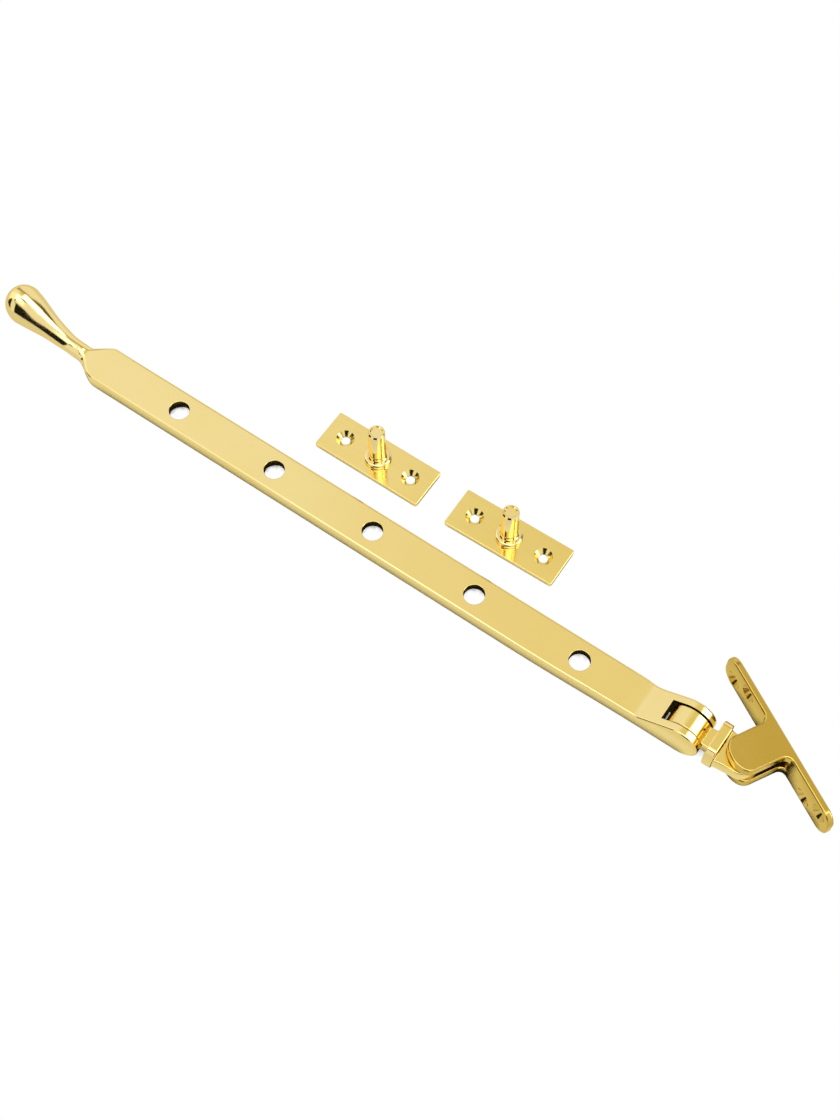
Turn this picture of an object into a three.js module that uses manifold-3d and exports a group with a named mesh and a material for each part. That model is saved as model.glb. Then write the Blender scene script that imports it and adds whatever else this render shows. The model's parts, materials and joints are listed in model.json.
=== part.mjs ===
// Casement window stay, laid out flat with its two peg plates beside it.
//
// The stay holds a hinged window open. Its bracket is screwed to the window, the arm hangs from the
// bracket on a two-way joint, and one of the arm's holes drops over a peg that stands on the window sill.
//
// Millimetres, +Z up. The origin is the middle of the bracket plate's back face, +X is that face's outward
// normal and +Y runs along the plate. The arm, the yoke and the peg plates are drawn in frames of their own,
// with z = 0 on the surface that everything lies on.
import * as THREE from "three";
import { mergeVertices } from "three/addons/utils/BufferGeometryUtils.js";
import Module from "manifold-3d";

const wasm = await Module();
wasm.setup();

// Driving dimensions.
const KNUCKLE_HEIGHT = 14.3; // the bracket plate, its pair of ears and the yoke's web have this height
const PLATE_LENGTH = 65; // bracket plate
const PLATE_THICKNESS = 2.5;
const PLATE_CORNER = 5; // radius of the plate's corners
const EAR_REACH = 17.4; // how far the two ears stand out of the plate
const EAR_WIDTH = 13.6;
const EAR_THICKNESS = 4.2;
const EAR_END_RADIUS = 9; // the shallow arc across an ear's end
const EAR_END_HALF_ANGLE = 30; // degrees of that arc on each side of its middle
const EAR_FILLET = 2.5; // where an ear meets the plate
const CAST_EDGE = 0.4; // rounding of the bracket plate and of the web
const PIN_TO_PLATE = 12.6; // swivel pin's axis to the plate's front face
const OUTER_SCREW = [26.8, -2.3]; // along the plate and up, from its middle
const INNER_SCREW = [18.8, 3.0];
const SCREW_HOLE_RADIUS = 1.7;
const SCREW_SINK_RADIUS = 3.3; // countersink at the surface
const SWIVEL_PIN_RADIUS = 2.5;
const LIFT_PIN_RADIUS = 2.0;
const FIT_GAP = 0.1; // radial clearance of a pin in its bore
const PIN_RECESS = 0.1; // how far a flush pin end sits below its face

const LINK_LENGTH = 20.7; // swivel pin to lift pin
const YOKE_EYE_RADIUS = 5.9;
const TONGUE_THICKNESS = 5.4;
const WEB_NEAR = 7.5; // the web's two faces, from the swivel pin
const WEB_FAR = 11;
const WEB_WIDTH = 14;
const WEB_TOP_CORNER = 2.5;
const WEB_BOTTOM_CORNER = 5;
const EYE_BLEND = 2.5; // how far before the web the tongue starts to flare
const BARREL_RADIUS = 7.0;
const BARREL_WIDTH = 7.1;
const BRIDGE_HEIGHT = 5; // the block between the barrel and the web

const BAR_WIDTH = 15.2;
const BAR_THICKNESS = 6.6;
const BAR_EDGE = 0.8; // rounding of the bar's long edges
const HOLE_PITCH = 43;
const FIRST_HOLE = 42.2; // lift pin to the nearest hole
const HOLE_COUNT = 5;
const HOLE_RADIUS = 3.75;
const HOLE_FLARE = 3.3; // height of the flared lower half of each hole
const FORK_WIDTH = 13.6;
const FORK_RADIUS = 7.4; // its round end; the fork is twice as high
const FORK_EDGE = 0.6;
const SLOT_WIDTH = 7.9;
const SLOT_DEPTH = 8.3; // lift pin to the slot's inner end
const RAMP_ANGLE = 30; // degrees of the straight ramp from the fork's crown down to the bar
const BAR_START = 5; // lift pin to where the bar starts, inside the fork
const FORK_WAIST = 12; // lift pin to where the bar starts to widen
const WAIST_RUN = 9; // how long the straighter side takes to widen
const SHOULDER = 270.7; // where the bar starts to narrow, from the swivel pin
const SHOULDER_LENGTH = 8.5;
const SHOULDER_ROUND = { run: 1, drop: 0.6 }; // the straight shoulder's rounded first corner
const NECK_ROUND = { run: 2, slope: 0.7, curve: 1.4 }; // the shoulder's last corners, on its two sides
const SHOULDER_CURVE = 4.5; // how far before the neck the curved shoulder aims
const NECK_RADIUS = 3.3;
const NECK_EASE = 0.3; // how much slimmer the neck is where the bar meets it
const NECK_HEIGHT = 4.6; // the neck's centre line above the surface
const HANDLE_RISE = 10.4; // how far the handle's centre line climbs
const RISE_START = 281.5; // where that climb starts and ends, from the swivel pin
const RISE_END = 311;
const HANDLE_ROOT = 6; // how far the handle reaches back from where it starts to climb, into the bar
const HANDLE_NECK = 4; // how far past that place the neck is at its full radius
const BULB_CENTRE = 305.6;
const BULB_RADIUS = 7.3;
// The teardrop's swelling: its radius at places before the bulb's centre.
const TEARDROP = [
  { radius: 3.5, before: 18 },
  { radius: 4.6, before: 11 },
  { radius: 6.5, before: 3.8 },
];

const PEG_PLATE_LENGTH = 44.45; // 1-3/4 inches
const PEG_PLATE_WIDTH = 15.9; // 5/8 inch
const PEG_PLATE_THICKNESS = 2;
const PEG_PLATE_CORNER = 0.7;
const PEG_PLATE_EDGE = 0.2;
const PEG_SCREW = 14.3; // each screw hole's distance from the peg
const PEG_HEIGHT = 20.3; // top of the peg above the plate's underside
const PEG_TOP_RADIUS = 3.0;
const PEG_BASE_RADIUS = 3.2;
const COLLAR_RADIUS = 4.95;
const COLLAR_HEIGHT = 2;
const COLLAR_UNDER_EDGE = 0.4;
const COLLAR_EDGE = 0.6;
const PEG_CHAMFER = 0.7;
const PEG_DISH = 0.3; // depth of the hollow in the peg's top
const SPIGOT_RADIUS = 2;
const SEAT_GAP = 0.05; // between a peg's collar and its plate

// How the pieces lie: the arm's direction from the swivel pin, and each peg plate's place and direction.
const ARM_ANGLE = 119.84;
const PEG_PLATE_PLACES = [
  { x: -74.3, y: 157.5, angle: -60.0 },
  { x: -45.8, y: 108.9, angle: -58.9 },
];

const BORE_SIDES = 24;
const ROUND_SIDES = 40;
const EDGE_STEPS = 2;
const PAST = 1; // how far a cutting tool runs past the face it opens
const SURFACE = -KNUCKLE_HEIGHT / 2; // height of the surface below the origin
const PIN_X = -PLATE_THICKNESS - PIN_TO_PLATE;

const radians = THREE.MathUtils.degToRad;

// A closed geometry as a manifold solid, and back again.
function solid(geometry) {
  const bare = geometry.clone();
  bare.deleteAttribute("normal");
  bare.deleteAttribute("uv");
  const merged = mergeVertices(bare, 1e-4);
  return new wasm.Manifold(
    new wasm.Mesh({
      numProp: 3,
      vertProperties: merged.attributes.position.array,
      triVerts: new Uint32Array(merged.index.array),
    }),
  );
}

function geometryOf(body) {
  const mesh = body.getMesh();
  const geometry = new THREE.BufferGeometry();
  geometry.setAttribute("position", new THREE.BufferAttribute(mesh.vertProperties, 3));
  geometry.setIndex(new THREE.BufferAttribute(mesh.triVerts, 1));
  const flat = geometry.toNonIndexed();
  flat.computeVertexNormals();
  return flat;
}

const cut = (body, ...tools) => tools.reduce((left, tool) => left.subtract(tool), body);
const join = (body, ...others) => others.reduce((left, other) => left.add(other), body);

// A flat outline raised along +Z from one height to another, its edges rounded by `edge`.
function raised(outline, from, to, edge = 0) {
  const geometry = new THREE.ExtrudeGeometry(outline, {
    depth: to - from - 2 * edge,
    bevelEnabled: edge > 0,
    bevelThickness: edge,
    bevelSize: edge,
    bevelOffset: -edge,
    bevelSegments: EDGE_STEPS,
    curveSegments: 6,
  });
  geometry.translate(0, 0, from + edge);
  return geometry;
}

// An outline in the x-z plane, raised along y to a width centred on y = 0.
function across(outline, width, edge = 0) {
  const geometry = raised(outline, -width / 2, width / 2, edge);
  geometry.rotateX(Math.PI / 2);
  return geometry;
}

// An outline in the y-z plane, raised along x.
function along(outline, from, to, edge = 0) {
  const geometry = raised(outline, from, to, edge);
  geometry.rotateX(Math.PI / 2);
  geometry.rotateZ(Math.PI / 2);
  return geometry;
}

// A round bar upright on (x, y), between two heights.
function upright(radius, x, y, from, to, sides = BORE_SIDES) {
  const geometry = new THREE.CylinderGeometry(radius, radius, to - from, sides);
  geometry.rotateX(Math.PI / 2);
  geometry.translate(x, y, (from + to) / 2);
  return geometry;
}

// A round bar lying along y, centred on y = 0.
function crosswise(radius, x, z, width, sides = BORE_SIDES) {
  const geometry = new THREE.CylinderGeometry(radius, radius, width, sides);
  geometry.translate(x, 0, z);
  return geometry;
}

// A countersunk screw hole's tool along +Z, its wide mouth at height `mouth`.
function screwTool(mouth, depth) {
  const sink = SCREW_SINK_RADIUS - SCREW_HOLE_RADIUS;
  const profile = [
    new THREE.Vector2(0, -depth - PAST),
    new THREE.Vector2(SCREW_HOLE_RADIUS, -depth - PAST),
    new THREE.Vector2(SCREW_HOLE_RADIUS, -sink),
    new THREE.Vector2(SCREW_SINK_RADIUS, 0),
    new THREE.Vector2(SCREW_SINK_RADIUS, PAST),
    new THREE.Vector2(0, PAST),
  ];
  const geometry = new THREE.LatheGeometry(profile, BORE_SIDES);
  geometry.rotateX(Math.PI / 2);
  geometry.translate(0, 0, mouth);
  return geometry;
}

function roundedRectangle(width, height, radius) {
  const x = width / 2 - radius;
  const y = height / 2 - radius;
  const shape = new THREE.Shape();
  shape.absarc(x, -y, radius, -Math.PI / 2, 0);
  shape.absarc(x, y, radius, 0, Math.PI / 2);
  shape.absarc(-x, y, radius, Math.PI / 2, Math.PI);
  shape.absarc(-x, -y, radius, Math.PI, 1.5 * Math.PI);
  shape.closePath();
  return shape;
}

// The bracket's ears share one outline: fillets at the plate, straight sides, a shallow arc across the end.
function earOutline() {
  const root = -PLATE_THICKNESS / 2;
  const front = -PLATE_THICKNESS;
  const side = EAR_WIDTH / 2;
  const arcCentre = front - EAR_REACH + EAR_END_RADIUS;
  const half = radians(EAR_END_HALF_ANGLE);
  const arcX = arcCentre - EAR_END_RADIUS * Math.cos(half);
  const arcY = EAR_END_RADIUS * Math.sin(half);
  const cornerX = arcX + (side - arcY) * Math.tan(half);
  const cornerRun = Math.hypot(side - arcY, cornerX - arcX);
  const shape = new THREE.Shape();
  shape.moveTo(root, -side - EAR_FILLET);
  shape.lineTo(root, side + EAR_FILLET);
  shape.lineTo(front, side + EAR_FILLET);
  shape.absarc(front - EAR_FILLET, side + EAR_FILLET, EAR_FILLET, 0, -Math.PI / 2, true);
  shape.lineTo(cornerX + cornerRun, side);
  shape.quadraticCurveTo(cornerX, side, arcX, arcY);
  shape.absarc(arcCentre, 0, EAR_END_RADIUS, Math.PI - half, Math.PI + half);
  shape.quadraticCurveTo(cornerX, -side, cornerX + cornerRun, -side);
  shape.lineTo(front - EAR_FILLET, -side);
  shape.absarc(front - EAR_FILLET, -side - EAR_FILLET, EAR_FILLET, Math.PI / 2, 0, true);
  return shape;
}

// Drawn about the row's origin: z = 0 is the plate's middle.
function mountingBracket() {
  const top = KNUCKLE_HEIGHT / 2;
  const outline = roundedRectangle(PLATE_LENGTH, KNUCKLE_HEIGHT, PLATE_CORNER);
  const plate = along(outline, -PLATE_THICKNESS, 0, CAST_EDGE);
  const ear = earOutline();
  const upperEar = raised(ear, top - EAR_THICKNESS, top);
  const lowerEar = raised(ear, -top, -top + EAR_THICKNESS);
  const bore = upright(SWIVEL_PIN_RADIUS + FIT_GAP, PIN_X, 0, -top - PAST, top + PAST);
  const screws = [1, -1].flatMap((end) =>
    [OUTER_SCREW, INNER_SCREW].map(([distance, height]) => {
      const tool = screwTool(0, PLATE_THICKNESS);
      tool.rotateY(-Math.PI / 2);
      tool.translate(-PLATE_THICKNESS, end * distance, end * height);
      return solid(tool);
    }),
  );
  const body = join(solid(plate), solid(upperEar), solid(lowerEar));
  return cut(body, solid(bore), ...screws);
}

function swivelPin() {
  const top = KNUCKLE_HEIGHT / 2 - PIN_RECESS;
  return solid(upright(SWIVEL_PIN_RADIUS, PIN_X, 0, -top, top));
}

// The web from the end, in the y-z plane: small corners at the top, larger ones at the bottom.
function webOutline() {
  const side = WEB_WIDTH / 2;
  const top = KNUCKLE_HEIGHT;
  const shape = new THREE.Shape();
  shape.absarc(side - WEB_BOTTOM_CORNER, WEB_BOTTOM_CORNER, WEB_BOTTOM_CORNER, -Math.PI / 2, 0);
  shape.absarc(side - WEB_TOP_CORNER, top - WEB_TOP_CORNER, WEB_TOP_CORNER, 0, Math.PI / 2);
  shape.absarc(WEB_TOP_CORNER - side, top - WEB_TOP_CORNER, WEB_TOP_CORNER, Math.PI / 2, Math.PI);
  shape.absarc(WEB_BOTTOM_CORNER - side, WEB_BOTTOM_CORNER, WEB_BOTTOM_CORNER, Math.PI, 1.5 * Math.PI);
  shape.closePath();
  return shape;
}

// The tongue's outline from above: a round eye on the swivel pin, flaring a little to meet the web.
function tongueOutline() {
  const inWeb = (WEB_NEAR + WEB_FAR) / 2;
  const flare = WEB_WIDTH / 2 - CAST_EDGE;
  const shape = new THREE.Shape();
  shape.moveTo(inWeb, -flare);
  shape.lineTo(inWeb, flare);
  shape.lineTo(WEB_NEAR, flare);
  shape.quadraticCurveTo(WEB_NEAR - EYE_BLEND, YOKE_EYE_RADIUS, 0, YOKE_EYE_RADIUS);
  shape.absarc(0, 0, YOKE_EYE_RADIUS, Math.PI / 2, 1.5 * Math.PI);
  shape.quadraticCurveTo(WEB_NEAR - EYE_BLEND, -YOKE_EYE_RADIUS, WEB_NEAR, -flare);
  return shape;
}

function swivelYoke() {
  const middle = KNUCKLE_HEIGHT / 2;
  const tongueBottom = middle - TONGUE_THICKNESS / 2;
  const tongue = raised(tongueOutline(), tongueBottom, tongueBottom + TONGUE_THICKNESS);
  const web = along(webOutline(), WEB_NEAR, WEB_FAR, CAST_EDGE);
  const barrel = crosswise(BARREL_RADIUS, LINK_LENGTH, FORK_RADIUS, BARREL_WIDTH, ROUND_SIDES);
  const bridgeStart = (WEB_NEAR + WEB_FAR) / 2;
  const bridge = new THREE.BoxGeometry(LINK_LENGTH - bridgeStart, BARREL_WIDTH, BRIDGE_HEIGHT);
  bridge.translate((LINK_LENGTH + bridgeStart) / 2, 0, middle);
  const eyeBore = upright(SWIVEL_PIN_RADIUS + FIT_GAP, 0, 0, 0, KNUCKLE_HEIGHT);
  const barrelBore = crosswise(LIFT_PIN_RADIUS + FIT_GAP, LINK_LENGTH, FORK_RADIUS, WEB_WIDTH);
  const body = join(solid(tongue), solid(web), solid(barrel), solid(bridge));
  return cut(body, solid(eyeBore), solid(barrelBore));
}

function liftPin() {
  return solid(crosswise(LIFT_PIN_RADIUS, LINK_LENGTH, FORK_RADIUS, FORK_WIDTH - 2 * PIN_RECESS));
}

// The bar from above, from inside the fork to the neck. One side (-y) stays straight up to the fork, and
// its shoulder is a straight slope. The other side draws in slowly towards the fork, and its shoulder is
// an S-curve.
function barOutline() {
  const half = BAR_WIDTH / 2;
  const forkHalf = FORK_WIDTH / 2;
  const start = LINK_LENGTH + BAR_START;
  const waist = LINK_LENGTH + FORK_WAIST;
  const full = waist + WAIST_RUN;
  const slowFull = LINK_LENGTH + FIRST_HOLE + HOLE_PITCH / 2;
  const neck = SHOULDER + SHOULDER_LENGTH;
  const neckHalf = NECK_RADIUS - NECK_EASE;
  const corner = SHOULDER_ROUND;
  const last = NECK_ROUND;
  const shape = new THREE.Shape();
  shape.moveTo(start, -forkHalf);
  shape.lineTo(waist, -forkHalf);
  shape.bezierCurveTo((waist + full) / 2, -forkHalf, (waist + full) / 2, -half, full, -half);
  shape.lineTo(SHOULDER - corner.run, -half);
  shape.quadraticCurveTo(SHOULDER, -half, SHOULDER + corner.run, -half + corner.drop);
  shape.lineTo(neck - last.run, -neckHalf - last.slope);
  shape.quadraticCurveTo(neck, -neckHalf, neck + last.run, -neckHalf);
  shape.lineTo(neck + last.run, neckHalf);
  shape.quadraticCurveTo(neck, neckHalf, neck - last.run, neckHalf + last.curve);
  shape.quadraticCurveTo(neck - SHOULDER_CURVE, half, SHOULDER - corner.run, half);
  shape.lineTo(slowFull, half);
  shape.bezierCurveTo((waist + slowFull) / 2, half, (waist + slowFull) / 2, forkHalf, waist, forkHalf);
  shape.lineTo(start, forkHalf);
  return shape;
}

// The fork from the side: round end on the lift pin, then a straight ramp from its crown down to the bar.
function forkOutline() {
  const ramp = radians(RAMP_ANGLE);
  const rampTop = FORK_RADIUS * (1 + Math.cos(ramp));
  const rampEnd = LINK_LENGTH + FORK_RADIUS * Math.sin(ramp) + (rampTop - BAR_THICKNESS) / Math.tan(ramp);
  const inBar = rampEnd + PAST;
  const shape = new THREE.Shape();
  shape.absarc(LINK_LENGTH, FORK_RADIUS, FORK_RADIUS, Math.PI / 2 - ramp, 1.5 * Math.PI);
  shape.lineTo(inBar, 0);
  shape.lineTo(inBar, BAR_THICKNESS);
  shape.lineTo(rampEnd, BAR_THICKNESS);
  return shape;
}

// Height of the handle's centre line: a smooth climb from the neck to the bulb.
function centreHeight(x) {
  return NECK_HEIGHT + HANDLE_RISE * THREE.MathUtils.smoothstep(x, RISE_START, RISE_END);
}

// A turned teardrop, bent upward along its centre line.
function handle() {
  const root = RISE_START - HANDLE_ROOT;
  const swell = new THREE.SplineCurve([
    new THREE.Vector2(NECK_RADIUS - NECK_EASE, root),
    new THREE.Vector2(NECK_RADIUS, RISE_START + HANDLE_NECK),
    ...TEARDROP.map(({ radius, before }) => new THREE.Vector2(radius, BULB_CENTRE - before)),
    new THREE.Vector2(BULB_RADIUS, BULB_CENTRE),
  ]);
  const profile = [new THREE.Vector2(0, root), ...swell.getPoints(16)];
  const capSteps = 7;
  for (let i = 1; i <= capSteps; i++) {
    const turn = (i / capSteps) * (Math.PI / 2);
    const radius = i === capSteps ? 0 : BULB_RADIUS * Math.cos(turn);
    profile.push(new THREE.Vector2(radius, BULB_CENTRE + BULB_RADIUS * Math.sin(turn)));
  }
  const geometry = new THREE.LatheGeometry(profile, BORE_SIDES);
  geometry.rotateZ(-Math.PI / 2);
  const position = geometry.attributes.position;
  for (let i = 0; i < position.count; i++) {
    position.setZ(i, position.getZ(i) + centreHeight(position.getX(i)));
  }
  return geometry;
}

// A peg hole's tool: straight through the bar's upper half, then flared towards the underside.
function pegHoleTool() {
  const profile = [
    new THREE.Vector2(0, -PAST),
    new THREE.Vector2(HOLE_RADIUS + (HOLE_FLARE + PAST) / 2, -PAST),
    new THREE.Vector2(HOLE_RADIUS, HOLE_FLARE),
    new THREE.Vector2(HOLE_RADIUS, BAR_THICKNESS + PAST),
    new THREE.Vector2(0, BAR_THICKNESS + PAST),
  ];
  const geometry = new THREE.LatheGeometry(profile, BORE_SIDES);
  geometry.rotateX(Math.PI / 2);
  return geometry;
}

function stayArm() {
  const bar = raised(barOutline(), 0, BAR_THICKNESS, BAR_EDGE);
  const fork = across(forkOutline(), FORK_WIDTH, FORK_EDGE);
  const slotStart = LINK_LENGTH - FORK_RADIUS - PAST;
  const slotLength = LINK_LENGTH + SLOT_DEPTH - slotStart;
  const slot = new THREE.BoxGeometry(slotLength, SLOT_WIDTH, 2 * (FORK_RADIUS + PAST));
  slot.translate(slotStart + slotLength / 2, 0, FORK_RADIUS);
  const pinBore = crosswise(LIFT_PIN_RADIUS + FIT_GAP, LINK_LENGTH, FORK_RADIUS, FORK_WIDTH + 2 * PAST);
  const holes = Array.from({ length: HOLE_COUNT }, (_, i) =>
    solid(pegHoleTool().translate(LINK_LENGTH + FIRST_HOLE + HOLE_PITCH * i, 0, 0)),
  );
  const body = join(solid(bar), solid(fork), solid(handle()));
  return cut(body, solid(slot), solid(pinBore), ...holes);
}

function pegPlate() {
  const outline = roundedRectangle(PEG_PLATE_LENGTH, PEG_PLATE_WIDTH, PEG_PLATE_CORNER);
  const plate = raised(outline, 0, PEG_PLATE_THICKNESS, PEG_PLATE_EDGE);
  const spigotBore = upright(SPIGOT_RADIUS + FIT_GAP, 0, 0, -PAST, PEG_PLATE_THICKNESS + PAST);
  const screws = [-PEG_SCREW, PEG_SCREW].map((x) =>
    solid(screwTool(PEG_PLATE_THICKNESS, PEG_PLATE_THICKNESS).translate(x, 0, 0)),
  );
  return cut(solid(plate), solid(spigotBore), ...screws);
}

// A turned peg: spigot, collar with rounded edges, a slightly tapered shank and a chamfered, dished top.
function peg() {
  const seat = PEG_PLATE_THICKNESS + SEAT_GAP;
  const collarTop = PEG_PLATE_THICKNESS + COLLAR_HEIGHT;
  const dishTop = PEG_HEIGHT - PEG_DISH;
  const profile = [
    [0, PIN_RECESS],
    [SPIGOT_RADIUS, PIN_RECESS],
    [SPIGOT_RADIUS, seat],
    [COLLAR_RADIUS - COLLAR_UNDER_EDGE, seat],
    [COLLAR_RADIUS, seat + COLLAR_UNDER_EDGE],
    [COLLAR_RADIUS, collarTop - COLLAR_EDGE],
    [COLLAR_RADIUS - COLLAR_EDGE, collarTop],
    [PEG_BASE_RADIUS, collarTop],
    [PEG_TOP_RADIUS, PEG_HEIGHT - PEG_CHAMFER],
    [PEG_TOP_RADIUS - PEG_CHAMFER, PEG_HEIGHT],
    [PEG_TOP_RADIUS - 2 * PEG_CHAMFER, dishTop],
    [0, dishTop],
  ].map(([radius, height]) => new THREE.Vector2(radius, height));
  const geometry = new THREE.LatheGeometry(profile, BORE_SIDES);
  geometry.rotateX(Math.PI / 2);
  return solid(geometry);
}

const brass = {
  polished: { color: 0xe3c878, roughness: 0.16, metalness: 1 },
  brushed: { color: 0xdcbe66, roughness: 0.3, metalness: 1 },
};

function piece(name, body, finish) {
  const mesh = new THREE.Mesh(geometryOf(body), new THREE.MeshStandardMaterial(finish));
  mesh.name = name;
  return mesh;
}

const stay = new THREE.Group();
stay.add(piece("mounting_bracket", mountingBracket(), brass.polished));
stay.add(piece("swivel_pin", swivelPin(), brass.polished));

// The yoke and the arm turn about the swivel pin.
const link = new THREE.Group();
link.position.set(PIN_X, 0, SURFACE);
link.rotation.z = radians(ARM_ANGLE);
link.add(piece("swivel_yoke", swivelYoke(), brass.polished));
link.add(piece("lift_pin", liftPin(), brass.polished));
link.add(piece("stay_arm", stayArm(), brass.brushed));
stay.add(link);

PEG_PLATE_PLACES.forEach(({ x, y, angle }, i) => {
  const place = new THREE.Group();
  place.position.set(x, y, SURFACE);
  place.rotation.z = radians(angle);
  place.add(piece(`peg_plate_${i + 1}`, pegPlate(), brass.brushed));
  place.add(piece(`peg_${i + 1}`, peg(), brass.polished));
  stay.add(place);
});

export default stay;
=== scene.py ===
"""Casement window stay in lacquered brass: bracket, yoke, arm and two loose peg plates on a clear table.

Every piece is drawn in millimetres. The bracket is drawn in the part's own frame, where z = 0 is half its
height. The yoke and the arm are drawn in a link frame and put where the joints say: its origin is the
swivel pin at the table's height, +x points along the arm towards the handle, and +y to its near side. Each
peg plate is drawn about its peg, with z = 0 on the table.
"""
import json
import math

import bmesh
import bpy
from mathutils import Matrix, Vector


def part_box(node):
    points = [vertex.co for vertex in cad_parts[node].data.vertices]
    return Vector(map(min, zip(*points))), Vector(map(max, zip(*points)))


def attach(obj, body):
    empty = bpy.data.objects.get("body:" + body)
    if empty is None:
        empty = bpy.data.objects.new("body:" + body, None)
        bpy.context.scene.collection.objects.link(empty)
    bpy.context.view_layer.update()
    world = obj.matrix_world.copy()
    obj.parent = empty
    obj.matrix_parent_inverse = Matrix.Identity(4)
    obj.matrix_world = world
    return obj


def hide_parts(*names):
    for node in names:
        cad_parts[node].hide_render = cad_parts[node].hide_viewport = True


MM = 0.001
PAST = 1.0  # how far a cutting tool runs past the face it opens
MERGE_DISTANCE = 1e-4  # vertices closer than this become one

# Bracket.
KNUCKLE_HEIGHT = 14.3
PLATE_LENGTH = 65.0
PLATE_THICKNESS = 2.5
PLATE_CORNER = 5.0
EAR_REACH = 17.4
EAR_WIDTH = 13.6
EAR_THICKNESS = 4.2
EAR_END_RADIUS = 9.0
EAR_END_HALF_ANGLE = 30.0
EAR_FILLET = 2.5
BRACKET_EDGE = 0.7
SCREWS = [(26.8, -2.3), (18.8, 3.0)]  # distance and height from the middle, both reversed at the other end
SCREW_HOLE_RADIUS = 1.7
SCREW_SINK_RADIUS = 3.3
SINK_CLEAR = 0.8  # how far the countersinking tool runs past the face

# Yoke.
YOKE_EYE_RADIUS = 5.9
TONGUE_THICKNESS = 5.4
WEB_NEAR = 7.5
WEB_FAR = 11.0
WEB_WIDTH = 14.0
WEB_TOP_CORNER = 2.5
WEB_BOTTOM_CORNER = 5.0
TONGUE_INSET = 0.5  # of the tongue's flared end from the web's sides
TONGUE_FLARE = (1.7, 0.3)  # where the flare aims: how far before the web, and how much wider than the eye
TONGUE_BLEND = 4.0  # how far before the web the tongue is as wide as its eye
YOKE_EDGE = 0.4
BARREL_RADIUS = 7.0
BARREL_WIDTH = 7.1
BRIDGE_HEIGHT = 5.0

# Arm.
BAR_HALF = 7.6
BAR_THICKNESS = 6.6
BAR_EDGE = 0.75
HOLE_PITCH = 43.0
FIRST_HOLE = 42.2
HOLE_COUNT = 5
HOLE_RADIUS = 3.75
HOLE_FLARE = 3.3  # height of the flared lower half of each hole
HOLE_LIP = 0.18  # rounding of its upper rim
FORK_HALF = 6.8
FORK_RADIUS = 7.4
SLOT_WIDTH = 7.9
SLOT_DEPTH = 8.3
FORK_WAIST = 12.0  # lift pin to where the bar starts to widen
WAIST_RUN = 9.0  # how long its far side takes to widen
HEAD_STEPS = 40  # the fork's round end, in steps
RAMP_ANGLE = 30.0  # of the fork's ramp down to the bar
CREASE_RISE = 1.0  # height above the bar at which the ramp starts to level out
LEVEL_FROM = 25.0  # lift pin to where the bar's top is level
BAR_END = 262.0  # where the handle part takes over from the bar
BAR_SPARE = 4.0  # how far the bar is drawn past that, to be trimmed
CORNER_FROM = 270.5  # where the bar's square section starts to turn round
LIFT_FROM = 277.8  # where its top starts to climb to the round neck's
LIFT_RUN = 3.6
NECK_END = 282.0
NECK_RADIUS = 3.3
NECK_HEIGHT = 4.6
HANDLE_RISE = 10.4
RISE_START = 281.5
RISE_END = 311.0
BULB_CENTRE = 305.6
BULB_RADIUS = 7.3

# Peg plates and pegs.
PEG_PLATE_LENGTH = 44.45
PEG_PLATE_WIDTH = 15.9
PEG_PLATE_THICKNESS = 2.0
PEG_PLATE_CORNER = 0.7
PEG_PLATE_EDGE = 0.28
PEG_SCREW = 14.3
PEG_HEIGHT = 20.3
PEG_TOP_RADIUS = 3.0
PEG_BASE_RADIUS = 3.2
COLLAR_RADIUS = 4.95
COLLAR_HEIGHT = 2.0
COLLAR_UNDER_EDGE = 0.35
COLLAR_EDGE = 0.8
COVE = 0.25  # between the collar and the shank
PEG_CHAMFER = (0.45, 0.55)  # width and height
DISH_RIM = 0.7  # the dish in the peg's top: its rim and its floor's edge, in from the shank
DISH_FLOOR = 1.0
DISH_DEPTH = 0.5
PEG_PLATE_ANGLES = {"1": -60.0, "2": -58.9}

# Camera: place in millimetres; heading, downward pitch and roll in degrees.
CAMERA_PLACE = (-195.293, -140.314, 558.092)
CAMERA_HEADING = 65.239
CAMERA_PITCH = 63.574
CAMERA_ROLL = -0.505
CAMERA_LENS = 57.835
CAMERA_SENSOR = 36.0

# Brass finishes: light tone, deep tone, roughness and the strength of the brush marks.
ARM_FINISH = ((0.90, 0.73, 0.325), (0.88, 0.70, 0.29), 0.13, 0.05)
JOINT_FINISH = ((0.90, 0.73, 0.32), (0.88, 0.70, 0.28), 0.12, 0.05)
BRACKET_FINISH = ((0.68, 0.49, 0.13), (0.63, 0.44, 0.10), 0.15, 0.06)
PLATE_FINISH = ((0.90, 0.72, 0.29), (0.87, 0.68, 0.25), 0.14, 0.10)
PEG_FINISH = ((0.90, 0.75, 0.38), (0.86, 0.69, 0.33), 0.05, 0.02)
BRUSHED_GRAIN = (30, 900, 900)  # marks per metre along the brushing, across it and upward
TURNED_GRAIN = (300, 300, 300)
EDGE_TINT = (0.97, 0.86, 0.55, 1)  # of light that grazes the metal
BRUSH_DEPTH = 0.00006  # metres


# ---------------------------------------------------------------- outlines

def arc(cx, cy, radius, start, end, steps):
    """Points on an arc, both ends included, angles in degrees."""
    turns = [math.radians(start + (end - start) * i / steps) for i in range(steps + 1)]
    return [(cx + radius * math.cos(t), cy + radius * math.sin(t)) for t in turns]


def bezier(a, b, c, d, steps):
    """Points on a cubic curve, without its first point."""
    points = []
    for i in range(1, steps + 1):
        t = i / steps
        weights = ((1 - t) ** 3, 3 * t * (1 - t) ** 2, 3 * t * t * (1 - t), t ** 3)
        points.append(tuple(sum(w * p[k] for w, p in zip(weights, (a, b, c, d))) for k in (0, 1)))
    return points


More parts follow.
